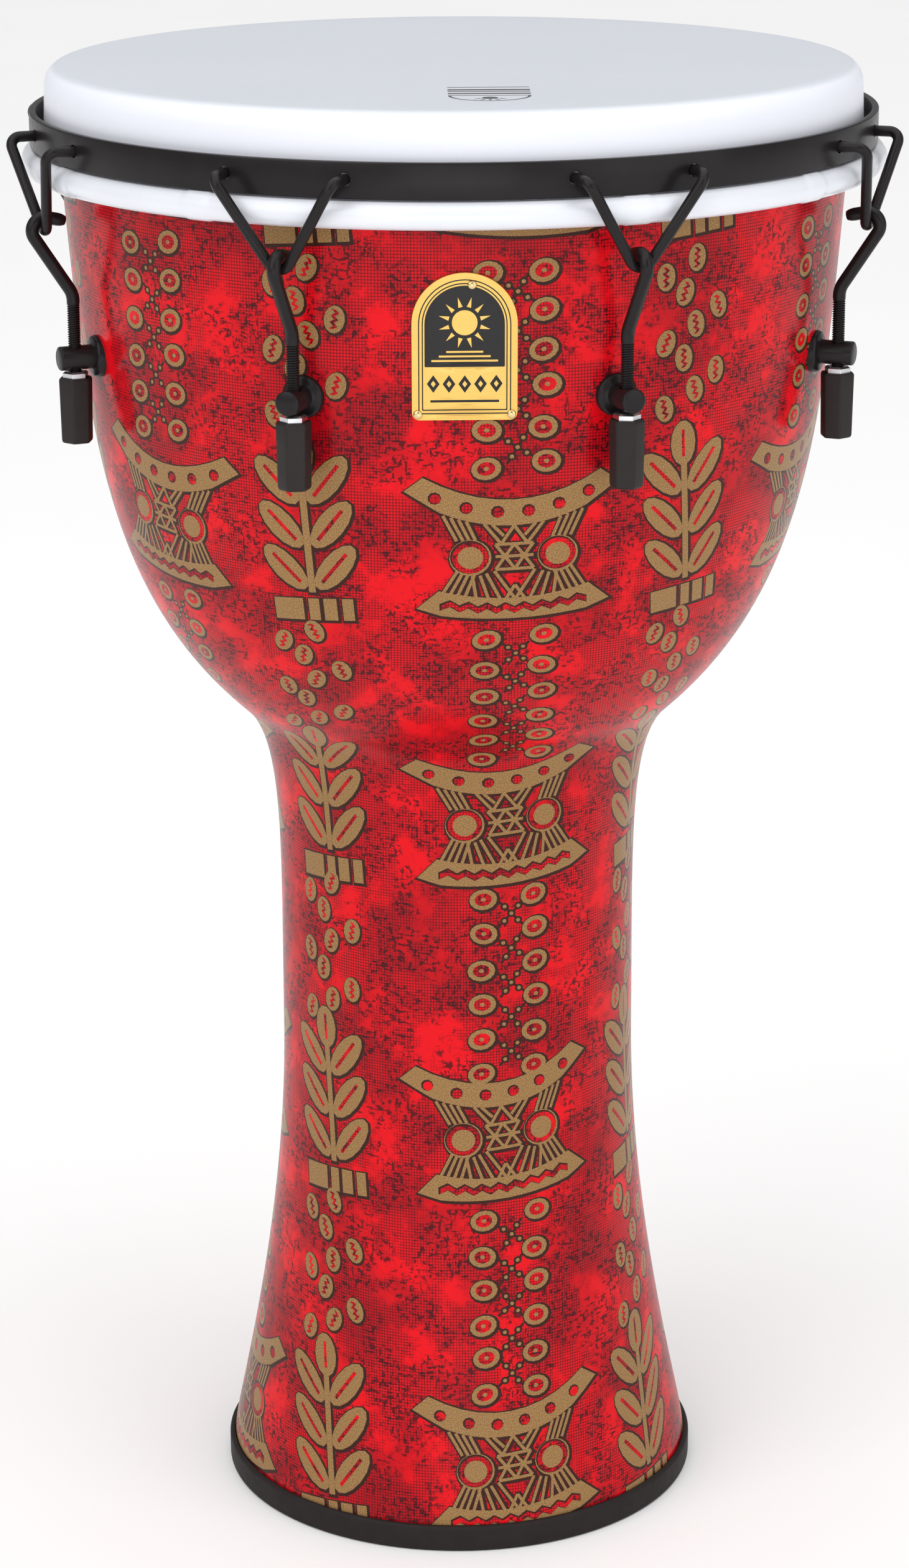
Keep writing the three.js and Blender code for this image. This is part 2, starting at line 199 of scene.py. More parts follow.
def red_cloth():
    """Bright red, with patches of dark crosshatch weave and small dark flecks."""
    m = Material("red_cloth", **RESIN).on_cloth()
    ticks = math.tau / (1.35 * MM)
    weave = [
        m.between(m.math("SINE", m.math("MULTIPLY", m.axis(name), ticks)), 0.1, 0.8) for name in ("X", "Y")
    ]
    patches = m.between(m.noise(36, 5, 0.65), 0.42, 0.52)
    threads = m.math("MULTIPLY", m.math("MAXIMUM", *weave), patches)
    across = m.between(m.noise(1, 3, 0.6, m.stretched(250, 620)), 0.545, 0.585)
    upright = m.between(m.noise(1, 3, 0.6, m.stretched(560, 240)), 0.555, 0.595)
    speckled = m.between(m.noise(48, 4, 0.65), 0.43, 0.53)
    flecks = m.math("MULTIPLY", m.math("MAXIMUM", across, upright), speckled)
    red = m.mix(m.between(m.noise(24, 4), 0.42, 0.60), (0.72, 0.003, 0.009), (0.48, 0.0025, 0.008))
    woven = m.mix(m.math("MULTIPLY", threads, 0.74), red, (0.060, 0.004, 0.008))
    m.colour(m.mix(m.math("MULTIPLY", flecks, 0.88), woven, (0.036, 0.004, 0.007)))
    return m.material


def gold_print():
    m = Material("gold_print", **RESIN).on_cloth()
    grain = m.noise(1900, 2, 0.6)
    gold = m.mix(m.between(grain, 0.35, 0.68), (0.20, 0.108, 0.038), (0.40, 0.232, 0.090))
    specks = m.between(m.noise(780, 3, 0.7), 0.67, 0.73)
    m.colour(m.mix(specks, gold, (0.08, 0.030, 0.012)))
    return m.material


def outline_print():
    m = Material("outline_print", **RESIN).on_cloth()
    m.colour(m.mix(m.noise(900, 3), (0.022, 0.007, 0.006), (0.055, 0.016, 0.010)))
    return m.material


def inner_wall():
    """The moulded inside: dark red-brown, with a faint chopped-fibre mottle."""
    m = Material("inner_wall", roughness=0.6)
    m.colour(m.mix(m.noise(60, 5, 0.7), (0.040, 0.013, 0.012), (0.085, 0.028, 0.024)))
    m.bump(m.noise(420, 4), 0.35, 0.0006)
    return m.material


def foot_rubber():
    m = Material("foot_rubber", roughness=0.62, specular_ior_level=0.15)
    m.colour(m.mix(m.noise(90, 4, 0.6), (0.014, 0.011, 0.0105), (0.025, 0.020, 0.019)))
    m.roughness(m.noise(300, 3), 0.5, 0.72)
    m.bump(m.noise(1500, 2), 0.25, 0.0002)
    return m.material


def head_film():
    """Thick white film: the flat top is painted greyer as painted shade, and the rolled shoulder whiter as
    a painted highlight.
    """
    m = Material("head_film", roughness=0.42, subsurface_weight=0.08)
    m.shader.inputs["Subsurface Radius"].default_value = (0.004, 0.004, 0.004)
    # Painted shade on the flat top and a painted highlight on the shoulder, split by height just under the
    # top.
    shaded_top = m.mix(m.noise(9, 4), (0.60, 0.63, 0.685), (0.65, 0.68, 0.73))
    highlit_shoulder = m.mix(m.noise(9, 4), (0.78, 0.80, 0.87), (0.83, 0.85, 0.92))
    m.colour(m.mix(m.between(m.axis("Z"), 0.6655, 0.6676), highlit_shoulder, shaded_top))
    m.roughness(m.noise(240, 3), 0.34, 0.50)
    m.bump(m.noise(1300, 2), 0.12, 0.0002)
    return m.material


def mark_ink():
    m = Material("mark_ink", roughness=0.4)
    m.colour(m.mix(m.noise(900, 3, 0.7), (0.045, 0.046, 0.05), (0.10, 0.10, 0.105)))
    return m.material


def hoop_wrap():
    m = Material("hoop_wrap", roughness=0.3, coat_weight=0.35, coat_roughness=0.2)
    m.colour(m.mix(m.noise(34, 4), (0.70, 0.725, 0.78), (0.78, 0.80, 0.85)))
    m.bump(m.noise(260, 3), 0.2, 0.0003)
    return m.material


def black_enamel():
    m = Material("black_enamel", roughness=0.3, specular_ior_level=0.16,
                 coat_weight=0.08, coat_roughness=0.14)
    m.colour(m.mix(m.noise(70, 4), (0.008, 0.0065, 0.007), (0.014, 0.011, 0.012)))
    m.roughness(m.noise(180, 4, 0.6), 0.26, 0.42)
    m.bump(m.noise(650, 3), 0.10, 0.0002)
    return m.material


def black_plastic():
    m = Material("black_plastic", roughness=0.5, specular_ior_level=0.22)
    m.colour(m.mix(m.noise(120, 4), (0.014, 0.011, 0.0105), (0.023, 0.018, 0.017)))
    m.roughness(m.noise(400, 3), 0.42, 0.58)
    m.bump(m.noise(1800, 2), 0.3, 0.00015)
    return m.material


def bright_steel():
    m = Material("bright_steel", roughness=0.28, metallic=1.0)
    turned_marks = m.noise(1, 3, 0.6, m.stretched(300, 300, 3500))
    m.colour(m.mix(turned_marks, (0.50, 0.50, 0.52), (0.68, 0.68, 0.70)))
    m.roughness(turned_marks, 0.2, 0.38)
    return m.material


def gold_plate():
    m = Material("gold_plate", roughness=0.33, metallic=0.35, coat_weight=0.4, coat_roughness=0.15)
    brushed = m.noise(1, 3, 0.6, m.stretched(90, 90, 2600))
    m.colour(m.mix(brushed, (0.72, 0.43, 0.075), (0.86, 0.55, 0.13)))
    m.roughness(brushed, 0.28, 0.42)
    return m.material


def badge_ink():
    m = Material("badge_ink", roughness=0.35, specular_ior_level=0.3, coat_weight=0.1, coat_roughness=0.15)
    m.colour(m.mix(m.noise(600, 3), (0.006, 0.005, 0.005), (0.012, 0.010, 0.010)))
    return m.material


def pin_brass():
    m = Material("pin_brass", roughness=0.25, metallic=1.0)
    m.colour(m.mix(m.noise(900, 3), (0.62, 0.46, 0.20), (0.80, 0.64, 0.34)))
    return m.material


# ---- mesh helpers ----
def new_piece(name, vertices, faces, materials, indices=None):
    """A smooth mesh in metres, from points in millimetres."""
    mesh = bpy.data.meshes.new(name)
    mesh.from_pydata([Vector(v) * MM for v in vertices], [], faces)
    for material in materials:
        mesh.materials.append(material)
    if indices:
        mesh.polygons.foreach_set("material_index", indices)
    mesh.polygons.foreach_set("use_smooth", [True] * len(mesh.polygons))
    mesh.update()
    piece = bpy.data.objects.new(name, mesh)
    bpy.context.scene.collection.objects.link(piece)
    return piece


def sharpen(piece, degrees=35):
    """Edges sharper than this stay crisp in the shading."""
    edit = bmesh.new()
    edit.from_mesh(piece.data)
    for edge in edit.edges:
        if len(edge.link_faces) == 2 and edge.calc_face_angle(0) > math.radians(degrees):
            edge.smooth = False
    edit.to_mesh(piece.data)
    edit.free()


def settle(piece, body, slot, *nodes):
    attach(piece, body)
    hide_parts(*nodes)


def station_angle(i):
    return math.radians(FIRST_STATION + i * 360 / STATIONS)


def at_stations(master, name, slot, body):
    """Turns copies of a front piece to the stations. body gives each copy's body from its number."""
    for i in range(STATIONS):
        copy = bpy.data.objects.new(f"{name}_look_{i + 1}", master.data.copy())
        bpy.context.scene.collection.objects.link(copy)
        copy.data.transform(Matrix.Rotation(station_angle(i), 4, "Z"))
        settle(copy, body(i + 1), slot, f"{name}_{i + 1}")
    bpy.data.objects.remove(master)


def turned(name, outline, material, columns=COLUMNS, closed=True):
    """Turns an outline of (radius, height) about Z. An open one starts and ends on the axis."""
    rings, vertices = [], []
    for radius, height in outline:
        if radius < 1e-6:
            rings.append([len(vertices)] * columns)
            vertices.append((0, 0, height))
            continue
        rings.append(list(range(len(vertices), len(vertices) + columns)))
        for c in range(columns):
            a = math.tau * c / columns
            vertices.append((radius * math.sin(a), -radius * math.cos(a), height))
    pairs = list(zip(rings, rings[1:] + rings[:1] if closed else rings[1:]))
    faces = []
    for low, high in pairs:
        for c in range(columns):
            d = (c + 1) % columns
            corners = list(dict.fromkeys((low[c], low[d], high[d], high[c])))
            if len(corners) > 2:
                faces.append(corners)
    piece = new_piece(name, vertices, faces, [material])
    outwards(piece)
    return piece


def outwards(piece):
    edit = bmesh.new()
    edit.from_mesh(piece.data)
    bmesh.ops.recalc_face_normals(edit, faces=edit.faces)
    edit.to_mesh(piece.data)
    edit.free()


def arc(cx, cy, radius, start, end, steps):
    turn = [math.radians(start + (end - start) * i / steps) for i in range(steps + 1)]
    return [(cx + radius * math.cos(a), cy + radius * math.sin(a)) for a in turn]


def ellipse(cx, cy, rx, ry, tilt=0, steps=14):
    c, s = math.cos(math.radians(tilt)), math.sin(math.radians(tilt))
    points = arc(0, 0, 1, 0, 360 - 360 / steps, steps - 1)
    return [(cx + x * rx * c - y * ry * s, cy + x * rx * s + y * ry * c) for x, y in points]


def ray(height, degrees, inner, half, outer):
    """A pointed ray of a disc whose middle is at (0, height)."""
    c, s = math.cos(math.radians(degrees)), math.sin(math.radians(degrees))
    return [(inner * c - half * s, height + inner * s + half * c),
            (inner * c + half * s, height + inner * s - half * c), (outer * c, height + outer * s)]


def bezier(points, steps):
    """A cubic curve through four control points, as (x, y) pairs."""
    out = []
    for i in range(steps + 1):
        t = i / steps
        weights = ((1 - t) ** 3, 3 * (1 - t) ** 2 * t, 3 * (1 - t) * t * t, t ** 3)
        out.append(tuple(sum(w * p[k] for w, p in zip(weights, points)) for k in (0, 1)))
    return out


def tube_faces(rings, sides, capped=(True, True)):
    """The faces between equal rings of points, and a cap on each end that has one."""
    faces = []
    for i in range(rings - 1):
        for s in range(sides):
            t = (s + 1) % sides
            faces.append((i * sides + s, i * sides + t, (i + 1) * sides + t, (i + 1) * sides + s))
    if capped[0]:
        faces.append(tuple(reversed(range(sides))))
    if capped[1]:
        faces.append(tuple(range((rings - 1) * sides, rings * sides)))
    return faces


def swept(name, path, radii, sides, material):
    """A closed round bar along a path in the plane of the path's own bends."""
    path = [Vector(p) for p in path]
    vertices = []
    side = None
    for i, point in enumerate(path):
        along = (path[min(i + 1, len(path) - 1)] - path[max(i - 1, 0)]).normalized()
        if side is None:
            side = along.orthogonal().normalized()
        side = (side - along * side.dot(along)).normalized()
        other = along.cross(side)
        for s in range(sides):
            a = math.tau * s / sides
            radius = radii(i, a)
            vertices.append(point + side * radius * math.cos(a) + other * radius * math.sin(a))
    piece = new_piece(name, vertices, tube_faces(len(path), sides), [material])
    outwards(piece)
    return piece


def bent(before, corner, after, radius, steps):
    """Replaces a corner by an arc that touches both of its straight runs."""
    along, onward = (corner - before).normalized(), (after - corner).normalized()
    turn = along.angle(onward)
    start = corner - along * radius * math.tan(turn / 2)
    inward = (onward - along * onward.dot(along)).normalized()
    angles = [turn * i / steps for i in range(steps + 1)]
    return [start + along * radius * math.sin(a) + inward * radius * (1 - math.cos(a)) for a in angles]


def resampled(path, step):
    """The same path with its straight runs cut to short steps."""
    out = [path[0]]
    for a, b in zip(path, path[1:]):
        count = max(1, round((b - a).length / step))
        out += [a.lerp(b, i / count) for i in range(1, count + 1)]
    return out


def rounded_hex(across_flats, corner, steps=5):
    """A hexagon with a corner towards the front and arcs for corners."""
    reach = across_flats / 2 / math.cos(math.pi / 6) - corner / math.cos(math.pi / 6)
    points = []
    for k in range(6):
        middle = -90 + 60 * k
        cx, cy = reach * math.cos(math.radians(middle)), reach * math.sin(math.radians(middle))
        points += arc(cx, cy, corner, middle - 30, middle + 30, steps)
    return points


def lofted(name, sections, material, capped=(True, True)):
    """Joins equal sections, each a list of points and a height, from the bottom up."""
    vertices = [(x, y, height) for points, height in sections for x, y in points]
    faces = tube_faces(len(sections), len(sections[0][0]), capped)
    piece = new_piece(name, vertices, faces, [material])
    outwards(piece)
    return piece


def barrel(name, rings, height, sides, material):
    """A turned piece that points outwards at the front. rings has (distance from the axis, radius)."""
    turn = [math.tau * s / sides for s in range(sides)]
    vertices = [(radius * math.cos(a), -reach, height + radius * math.sin(a))
                for reach, radius in rings for a in turn]
    piece = new_piece(name, vertices, tube_faces(len(rings), sides), [material])
    outwards(piece)
    return piece


def cut(piece, tools):
    """Cuts closed tools out of a piece and removes them."""
    for tool in tools:
        modifier = piece.modifiers.new("cut", "BOOLEAN")
        modifier.object = tool
        modifier.solver = "EXACT"
    bpy.context.view_layer.update()
    graph = bpy.context.evaluated_depsgraph_get()
    mesh = bpy.data.meshes.new_from_object(piece.evaluated_get(graph))
    piece.modifiers.clear()
    piece.data = mesh
    for tool in tools:
        bpy.data.objects.remove(tool)


# ---- the shell's outline ----
def shell_outside():
    s = SHELL
    out_x, out_y = math.sin(s["flare"]), math.cos(s["flare"])
    throat = (s["throat_radius"], s["throat"])
    neck = bezier((
        (s["foot_radius"], s["foot_top"]), (s["foot_radius"], s["foot_top"] + s["foot_handle"]),
        (s["waist_radius"], s["waist"] - s["neck_handle"]), (s["waist_radius"], s["waist"]),
    ), 60)
    shoulder = bezier((
        neck[-1], (s["waist_radius"], s["waist"] + s["throat_handle"]),
        (throat[0] - out_x * s["flare_handle"], throat[1] - out_y * s["flare_handle"]), throat,
    ), 60)
    bowl = bezier((
        throat, (throat[0] + out_x * s["bowl_handle"], throat[1] + out_y * s["bowl_handle"]),
        (s["rim_radius"] - s["rim_slope"] * s["rim_handle"], s["rim"] - s["rim_handle"]),
        (s["rim_radius"], s["rim"]),
    ), 90)
    return [(s["foot_radius"], s["base"])] + neck + shoulder[1:] + bowl[1:]


class Outline:
    """The shell's outside, looked up by the distance along it from the base."""

    def __init__(self, points):
        self.points = points
        self.along = [0]
        for a, b in zip(points, points[1:]):
            self.along.append(self.along[-1] + math.dist(a, b))
        self.length = self.along[-1]

    def at(self, v):
        """Radius, height and the outward normal's radius and height parts."""
        v = min(max(v, 0), self.length)
        low = min(max(bisect.bisect_right(self.along, v) - 1, 0), len(self.points) - 2)
        t = (v - self.along[low]) / (self.along[low + 1] - self.along[low])
        (r0, z0), (r1, z1) = self.points[low], self.points[low + 1]
        n0, n1 = self.normal(low), self.normal(low + 1)
        nr, nz = n0[0] + (n1[0] - n0[0]) * t, n0[1] + (n1[1] - n0[1]) * t
        return r0 + (r1 - r0) * t, z0 + (z1 - z0) * t, nr, nz

    def normal(self, k):
        a, b = self.points[max(k - 1, 0)], self.points[min(k + 1, len(self.points) - 1)]
        size = math.dist(a, b)
        return (b[1] - a[1]) / size, -(b[0] - a[0]) / size

    def radius_at(self, height):
        k = next(i for i, p in enumerate(self.points) if p[1] >= height)
        (r0, z0), (r1, z1) = self.points[k - 1], self.points[k]
        return r0 + (r1 - r0) * (height - z0) / (z1 - z0)


outline = Outline(shell_outside())


# ---- the printed pattern ----
CLOTH, GOLD, INK, INNER = 0, 1, 2, 3


def placed(points, x, y, tilt=0):
    c, s = math.cos(math.radians(tilt)), math.sin(math.radians(tilt))
    return [(x + px * c - py * s, y + px * s + py * c) for px, py in points]


def signed_area(points):
    """Positive where the points go round anticlockwise."""
    return sum(a[0] * b[1] - b[0] * a[1] for a, b in zip(points, points[1:] + points[:1])) / 2


def grown(points, distance):
    """The outline moved outwards, with its corners kept."""
    sign = 1 if signed_area(points) > 0 else -1
    out = []
    for i, (x, y) in enumerate(points):
        before, after = points[i - 1], points[(i + 1) % len(points)]
        ax, ay = x - before[0], y - before[1]
        bx, by = after[0] - x, after[1] - y
        la, lb = math.hypot(ax, ay) or 1, math.hypot(bx, by) or 1
        nx, ny = ay / la + by / lb, -ax / la - bx / lb
        size = math.hypot(nx, ny)
        if size < 0.35:
            nx, ny, size = ay / la, -ax / la, 1
        reach = min(2 / size, 1.8) * distance * sign
        out.append((x + nx / size * reach, y + ny / size * reach))
    return out


def stroke(a, b, width):
    """A straight bar from a to b."""
    size = math.dist(a, b)
    nx, ny = -(b[1] - a[1]) / size * width / 2, (b[0] - a[0]) / size * width / 2
    return [(a[0] + nx, a[1] + ny), (b[0] + nx, b[1] + ny), (b[0] - nx, b[1] - ny), (a[0] - nx, a[1] - ny)]


def zigzag(curve, swing, width, teeth):
    """A jagged band along a curve given as a function from 0 to 1."""
    line = [curve(i / (2 * teeth)) for i in range(2 * teeth + 1)]
    line = [(x, y + (swing if i % 2 else -swing)) for i, (x, y) in enumerate(line)]
    return [(x, y + width / 2) for x, y in line] + [(x, y - width / 2) for x, y in reversed(line)]


def bow(half, middle, end, steps=10, flip=False):
    """A symmetric sagging curve from -half to half, at height middle in the middle and end at its ends."""
    points = [(half * (2 * i / steps - 1), middle + (end - middle) * (2 * i / steps - 1) ** 2)
              for i in range(steps + 1)]
    return points[::-1] if flip else points


def mirrored(points):
    return [(-x, y) for x, y in points]


def stool_motif():
    """A crescent seat on a body of hatched lines with two ring bosses, on a curved base."""
    thin = 1.4
    gold = [bow(37.5, 24.8, 35.5) + [(45.5, 29.5)] + bow(31, 13.2, 20, flip=True) + [(-45.5, 29.5)],
            bow(32, -20.8, -16.4) + [(41.5, -25)] + bow(31, -31, -28.8, flip=True) + [(-41.5, -25)]]
    holes = [-32.5 + 13 * k for k in range(6)]
    red = [ellipse(x, 19 + 7.2 * (x / 33) ** 2, 2.3, 2.2, 0, 9) for x in holes]
    red.append(zigzag(lambda t: (-31 + 62 * t, -26 + 2.6 * (2 * t - 1) ** 2), 1.1, 2.3, 8))
    lines = [((0, -14.5), (-4.5, -22))]
    lines += [((-8, y), (8, y)) for y in (4.8, -0.8, -6.8)]
    for k in range(4):
        lines.append(((29.5 - 3.2 * k, 18.6 - 0.9 * k), (24 - 2.6 * k, 7)))
        lines.append(((24 - 2.6 * k, -7), (31 - 3.2 * k, -18.8 - 0.5 * k)))
    lines += [((12.5, 14.4), (5.5, 5)), ((5.5, 5), (0, 13.2)), ((9.2, 14), (4.4, 8.6)),
              ((12, -8.5), (6, -21.8)), ((8.6, -7.5), (0, -21.4)), ((14.6, -9.4), (11.2, -21)),
              ((17.8, -9.6), (16.4, -20.6)), ((8, 4.8), (4, -0.8)), ((4, -0.8), (0, 4.8)),
              ((8, -6.8), (4, -0.8)), ((4, -0.8), (0, -6.8))]
    gold += [stroke(a, b, thin) for a, b in lines]
    gold += [mirrored(stroke(a, b, thin)) for a, b in lines if abs(a[0] + b[0]) > 0.1]
    bosses = []
    for x in (-18.5, 18.5):
        gold.append(ellipse(x, -1, 8.8, 8.4, 0, 20))
        red.append(ellipse(x, -1, 7.6, 7.2, 0, 20))
        bosses.append(ellipse(x, -1, 5.4, 5.2, 0, 16))
    return gold, red, bosses


def leaf_motif():
    """A sprig: three pairs of veined leaves and a bud on a stem, over a slotted bar."""
    gold = [stroke((0, -28), (0, 30), 3.2), ellipse(0, 36, 6.5, 10)]
    red = [stroke((0, 30), (0, 42), 1.6)]
    for side in (-1, 1):
        for height in (-16, 4, 24):
            gold.append(ellipse(11.5 * side, height, 6, 13.5, -42 * side))
            red.append(stroke((5 * side, height - 7), (17 * side, height + 6.5), 1.7))
    for x, width in ((-12, 14), (0, 5), (7.5, 6), (15.5, 5)):
        gold.append(stroke((x, -31), (x, -42), width))
    return gold, red, []


def bean_motif():
    gold = [ellipse(0, 0, 4.5, 5.9)]
    red = [[(y, x) for x, y in zigzag(lambda t: (-4.2 + 8.4 * t, 0), 0.9, 1.9, 3)]]
    return gold, red, []


def dot_motif():
    return [ellipse(0, 0, 6.3, 4.9)], [ellipse(0, 0, 3.9, 3.0, 0, 12)], [ellipse(0, 0, 1.2, 1.0, 0, 6)]


def knot_motif():
    """Two crossing threads round five small dots, all in the outline's colour but for the dots."""
    places = ((0, 0), (-3.2, 3.4), (3.2, 3.4), (-3.2, -3.4), (3.2, -3.4))
    threads = [stroke((-6, -6), (6, 6), 1.3), stroke((-6, 6), (6, -6), 1.3)]
    threads += [ellipse(x, y, 2.1, 1.9, 0, 8) for x, y in places]
    dots = [ellipse(x, y, 1.0, 0.95, 0, 6) for x, y in places]
    return threads, dots


STOOL_PLACES = ((24.5, 36.5), (19.7, 193), (20.8, 343), (22.5, 502), (22.5, 669))  # along and up the cloth
LEAF_COLUMN = -66
REPEAT = 168  # width of the print's repeat
TILT = 4.4  # the print climbs to the right by this many degrees
COPIES = range(-4, 5)


def print_layers():
    """Every printed shape on the cloth, in the order of printing, as (colour, points)."""
    dice = random.Random(11)
    shadows, fronts = [], []

    def stamp(motif, x, y, tilt, spread=1.05):
        gold, red, top = motif
        for shape in gold:
            shadows.append((INK, placed(grown(shape, spread), x + 0.5, y - 0.4, tilt)))
        fronts.extend((GOLD, placed(shape, x, y, tilt)) for shape in gold)
        if motif is stool:
            fronts.extend((INK, placed(grown(shape, 0.55), x - 0.3, y + 0.35, tilt)) for shape in red)
        for colour, shapes in ((CLOTH, red), (GOLD, top)):
            fronts.extend((colour, placed(shape, x, y, tilt)) for shape in shapes)

    stool, leaf, bean, dot, knot = stool_motif(), leaf_motif(), bean_motif(), dot_motif(), knot_motif()
    gaps = [(low[1] + high[1]) / 2 for low, high in zip(STOOL_PLACES, STOOL_PLACES[1:])]
    for copy in COPIES:
        beside = max(-1, min(copy, 1))  # the cloth curves up beside the front
        rise = 4 * abs(beside)
        column = LEAF_COLUMN + copy * REPEAT
        for x, y in STOOL_PLACES:
            lean = TILT - 3.2 * max(y - 300, 0) / 200 + 5 * beside
            stamp(stool, x + copy * REPEAT, y + rise, lean)
            stamp(leaf, column, y + 7, TILT)
        x = STOOL_PLACES[3][0] + copy * REPEAT
        for gap in gaps:
            for row in range(6):
                y = gap - 3 + rise + (row - 2.5) * 16.4
                for side in (-12, 12.5):
                    wobble = dice.uniform(-1, 1)
                    stamp(dot, x + side + wobble, y + side * 0.08 + wobble, TILT + dice.uniform(-12, 12))
                if row < 5:
                    threads, dots = knot
                    tilt = TILT + dice.uniform(-10, 10)
                    shadows.extend((INK, placed(t, x + 1, y + 8.2, tilt)) for t in threads)
                    fronts.extend((GOLD, placed(d, x + 1, y + 8.2, tilt)) for d in dots)
            for row in range(10):
                y = gap + 7 + (row - 4.5) * 7.0
                side = (-13, 2, 14, -3.5)[row % 4] + dice.uniform(-0.6, 0.6)
                stamp(bean, column + side, y, dice.uniform(-26, 26), 0.8)
    return shadows + fronts


def clipped(points, axis, limit, keep_below):
    """The part of a polygon on one side of a line across an axis."""
    sign = 1 if keep_below else -1
    inside = [sign * (p[axis] - limit) <= 0 for p in points]
    out = []
    for i, point in enumerate(points):
        before = points[i - 1]
        if inside[i] != inside[i - 1]:
            t = (limit - before[axis]) / (point[axis] - before[axis])
            out.append(tuple(before[k] + (point[k] - before[k]) * t for k in (0, 1)))
        if inside[i]:
            out.append(point)
    return out


def painted(grid, links, shapes):
    """Cuts a flat grid along coloured shapes. Gives points, faces and the last colour laid on each face."""
    points = [Vector(p) for p in grid]
    rings, colours = [], []
    for colour, shape in shapes:
        rings.append(list(range(len(points), len(points) + len(shape))))
        colours.append(colour)
        points += [Vector(p) for p in (shape if signed_area(shape) > 0 else shape[::-1])]
    found, _, faces, _, _, covers = geometry.delaunay_2d_cdt(points, links, rings, 1, 1e-4)
    return found, faces, [colours[max(c)] if c else None for c in covers]


def densified(points, step):
    out = []
    for a, b in zip(points, points[1:] + points[:1]):
        count = max(1, math.ceil(math.dist(a, b) / step))
        out += [(a[0] + (b[0] - a[0]) * i / count, a[1] + (b[1] - a[1]) * i / count) for i in range(count)]
    return out


def make_shell():
    """One closed mesh: the printed outside, the bearing edge, the inner wall and the base."""
    rows = 112
    reach = math.pi * 110  # half the flat width, which stands for half a turn
    step_u, step_v = 2 * reach / COLUMNS, outline.length / rows
    grid = [(step_u * c - reach, step_v * r) for r in range(rows + 1) for c in range(COLUMNS + 1)]

    def index(r, c):
        return r * (COLUMNS + 1) + c

    links = [(index(r, c), index(r, c + 1)) for r in (0, rows) for c in range(COLUMNS)]
    links += [(index(r, c), index(r + 1, c)) for r in range(rows) for c in (0, COLUMNS)]

    # A plain strip along the seam at the back, and at the two ends that other pieces cover.
    limits = ((0, reach - step_u, True), (0, step_u - reach, False),
              (1, outline.length - step_v, True), (1, step_v, False))
    shapes = []
    for colour, shape in print_layers():
        flat = [(u * reach / math.pi / outline.at(v)[0], v) for u, v in densified(shape, 9)]
        for axis, limit, keep_below in limits:
            flat = clipped(flat, axis, limit, keep_below) if len(flat) > 2 else []
        if len(flat) > 2:
            shapes.append((colour, flat))
    flat, faces, colours = painted(grid, links, shapes)

    vertices, cloth = [], []
    for x, v in flat:
        a = x * math.pi / reach
        r, z = outline.at(v)[:2]
        vertices.append((r * math.sin(a), -r * math.cos(a), z))
        cloth.append((r * a * MM, v * MM))
    colours = [c or CLOTH for c in colours]

    # The rest of the outline, from the rim over the edge, down the inside and back along the base.
    s = SHELL
    crest = [(s["edge_radius"] + (s["rim_radius"] - s["edge_radius"]) * math.cos(math.radians(d)),
              s["rim"] + (s["edge"] - s["rim"]) * math.sin(math.radians(d))) for d in range(15, 91, 15)]
    inside = []
    for k in range(71):
        r, z, nr, nz = outline.at(outline.length * (1 - k / 70))
        inside.append((r - nr * s["wall"], z - nz * s["wall"]))
    rest = [(s["rim_radius"], s["rim"])] + crest + inside + [(s["foot_radius"], s["base"])]
    for r, z in rest:
        for c in range(COLUMNS + 1):
            a = (2 * c / COLUMNS - 1) * math.pi
            vertices.append((r * math.sin(a), -r * math.cos(a), z))
            cloth.append((r * a * MM, z * MM))
    first = len(flat)
    for k in range(len(rest) - 1):
        for c in range(COLUMNS):
            low, high = first + index(k, c), first + index(k + 1, c)
            faces.append((low, low + 1, high + 1, high))
            colours.append(INNER)

    materials = [red_cloth(), gold_print(), outline_print(), inner_wall()]
    piece = new_piece("printed_shell", vertices, faces, materials, colours)
    mesh = piece.data
    layer = mesh.uv_layers.new(name="cloth")
    for loop in mesh.loops:
        layer.data[loop.index].uv = cloth[loop.vertex_index]
    edit = bmesh.new()
    edit.from_mesh(mesh)
    bmesh.ops.remove_doubles(edit, verts=edit.verts, dist=3e-7)
    edit.to_mesh(mesh)
    edit.free()
    shade_by_outline(mesh)
    settle(piece, "drum", "printed_shell", "shell")


def shade_by_outline(mesh):
    """Shades the printed side by the outline's own normals, so that the cuts of the print don't show."""
    heights = [p[1] for p in outline.points]
    custom = []
    for vertex in mesh.vertices:
        x, y, z = vertex.co / MM
        r = math.hypot(x, y)
        k = min(max(bisect.bisect_right(heights, z) - 1, 0), len(heights) - 2)
        (r0, z0), (r1, z1) = outline.points[k], outline.points[k + 1]
        t = min(max((z - z0) / (z1 - z0), 0), 1)
        if abs(r - (r0 + (r1 - r0) * t)) < 0.4 and z < SHELL["rim"] - 0.01:
            n0, n1 = outline.normal(k), outline.normal(k + 1)
            nr, nz = n0[0] + (n1[0] - n0[0]) * t, n0[1] + (n1[1] - n0[1]) * t
            custom.append(Vector((nr * x / r, nr * y / r, nz)).normalized())
        else:
            custom.append(vertex.normal.copy())
    mesh.normals_split_custom_set_from_vertices(custom)


